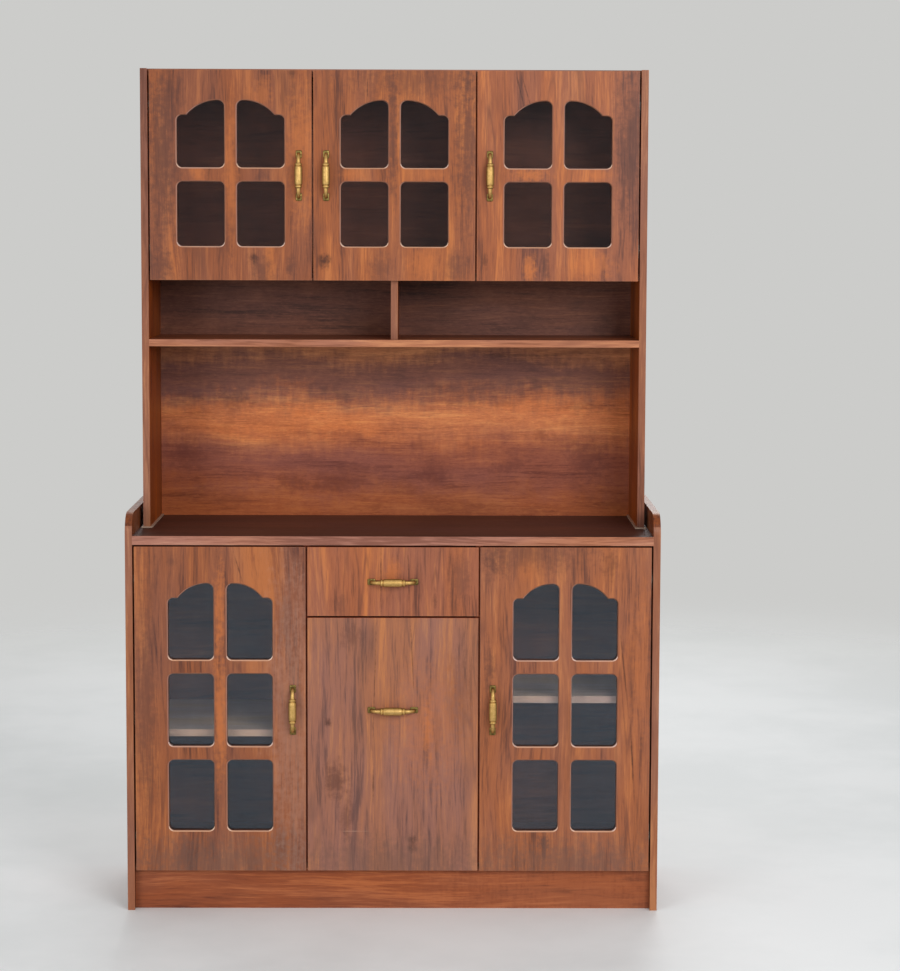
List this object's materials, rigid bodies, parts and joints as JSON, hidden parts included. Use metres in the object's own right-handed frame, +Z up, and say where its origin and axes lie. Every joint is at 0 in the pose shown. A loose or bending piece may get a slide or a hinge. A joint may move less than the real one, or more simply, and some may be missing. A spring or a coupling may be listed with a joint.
{
  "type": "kitchen cabinet",
  "caption": "Tall kitchen cabinet: base with glazed doors, drawer and pull-out under a worktop, and a glazed hutch with an open shelf above.",
  "frame": {"origin": "middle of the cabinet's bounding box on the floor, pulls included", "axes": "+Z up, -Y out of the front, +X to the right when facing the front"},
  "size_m": [1.2, 0.426, 1.9],
  "materials": {
    "front_laminate": "satin rosewood laminate, upright grain",
    "board_laminate": "satin rosewood laminate",
    "worktop_laminate": "satin dark rosewood laminate",
    "hardboard": "printed hardboard, level grain",
    "dowel_wood": "plain beech",
    "tinted_glass": "clear polished glass",
    "antique_brass": "antique brass",
    "plated_steel": "nickel plated",
    "coated_steel": "zinc coated",
    "clear_plastic": "pale plastic"
  },
  "bodies": {
    "carcass": {"base_back": "hardboard", "base_bottom": "board_laminate", "base_left_partition": "board_laminate", "base_left_side": "board_laminate", "base_right_partition": "board_laminate", "base_right_side": "board_laminate", "base_shelves": "board_laminate", "cabinet_runners": "coated_steel", "carcass_dowels": "dowel_wood", "hinge_arms": "plated_steel", "hinge_plates": "plated_steel", "hutch_back": "hardboard", "hutch_cupboard_floor": "board_laminate", "hutch_foot_strips": "clear_plastic", "hutch_left_side": "board_laminate", "hutch_open_shelf": "board_laminate", "hutch_partition": "board_laminate", "hutch_right_side": "board_laminate", "hutch_shelf_divider": "board_laminate", "hutch_top": "board_laminate", "plinth": "board_laminate", "shelf_pins": "plated_steel", "worktop": "worktop_laminate"},
    "hutch_left_door": {"hutch_left_door_glass": "tinted_glass", "hutch_left_door_glass_clips": "clear_plastic", "hutch_left_door_hinge_cups": "plated_steel", "hutch_left_door_panel": "front_laminate", "hutch_left_door_pull": "antique_brass"},
    "hutch_middle_door": {"hutch_middle_door_glass": "tinted_glass", "hutch_middle_door_glass_clips": "clear_plastic", "hutch_middle_door_hinge_cups": "plated_steel", "hutch_middle_door_panel": "front_laminate", "hutch_middle_door_pull": "antique_brass"},
    "hutch_right_door": {"hutch_right_door_glass": "tinted_glass", "hutch_right_door_glass_clips": "clear_plastic", "hutch_right_door_hinge_cups": "plated_steel", "hutch_right_door_panel": "front_laminate", "hutch_right_door_pull": "antique_brass"},
    "base_left_door": {"base_left_door_glass": "tinted_glass", "base_left_door_glass_clips": "clear_plastic", "base_left_door_hinge_cups": "plated_steel", "base_left_door_panel": "front_laminate", "base_left_door_pull": "antique_brass"},
    "base_right_door": {"base_right_door_glass": "tinted_glass", "base_right_door_glass_clips": "clear_plastic", "base_right_door_hinge_cups": "plated_steel", "base_right_door_panel": "front_laminate", "base_right_door_pull": "antique_brass"},
    "drawer": {"drawer_back": "board_laminate", "drawer_bottom": "hardboard", "drawer_front": "front_laminate", "drawer_pull": "antique_brass", "drawer_runners": "coated_steel", "drawer_sides": "board_laminate"},
    "pullout": {"pullout_back": "board_laminate", "pullout_bottom": "hardboard", "pullout_front": "front_laminate", "pullout_pull": "antique_brass", "pullout_runners": "coated_steel", "pullout_sides": "board_laminate"}
  },
  "joints": [
    {"name": "hutch_left_door_hinge", "type": "hinge", "parent": "carcass", "child": "hutch_left_door", "pos_m": [-0.5485, -0.0318, 1.66], "axis": [0, 0, -1], "range_deg": [0, 100]},
    {"name": "hutch_middle_door_hinge", "type": "hinge", "parent": "carcass", "child": "hutch_middle_door", "pos_m": [0.17717, -0.0318, 1.66], "axis": [0, 0, 1], "range_deg": [0, 100]},
    {"name": "hutch_right_door_hinge", "type": "hinge", "parent": "carcass", "child": "hutch_right_door", "pos_m": [0.5485, -0.0318, 1.66], "axis": [0, 0, 1], "range_deg": [0, 100]},
    {"name": "base_left_door_hinge", "type": "hinge", "parent": "carcass", "child": "base_left_door", "pos_m": [-0.5735, -0.1798, 0.4615], "axis": [0, 0, -1], "range_deg": [0, 100]},
    {"name": "base_right_door_hinge", "type": "hinge", "parent": "carcass", "child": "base_right_door", "pos_m": [0.5735, -0.1798, 0.4615], "axis": [0, 0, 1], "range_deg": [0, 100]},
    {"name": "drawer_slide", "type": "slide", "parent": "carcass", "child": "drawer", "axis": [0, -1, 0], "range_m": [0, 0.25]},
    {"name": "pullout_slide", "type": "slide", "parent": "carcass", "child": "pullout", "axis": [0, -1, 0], "range_m": [0, 0.25]}
  ]
}
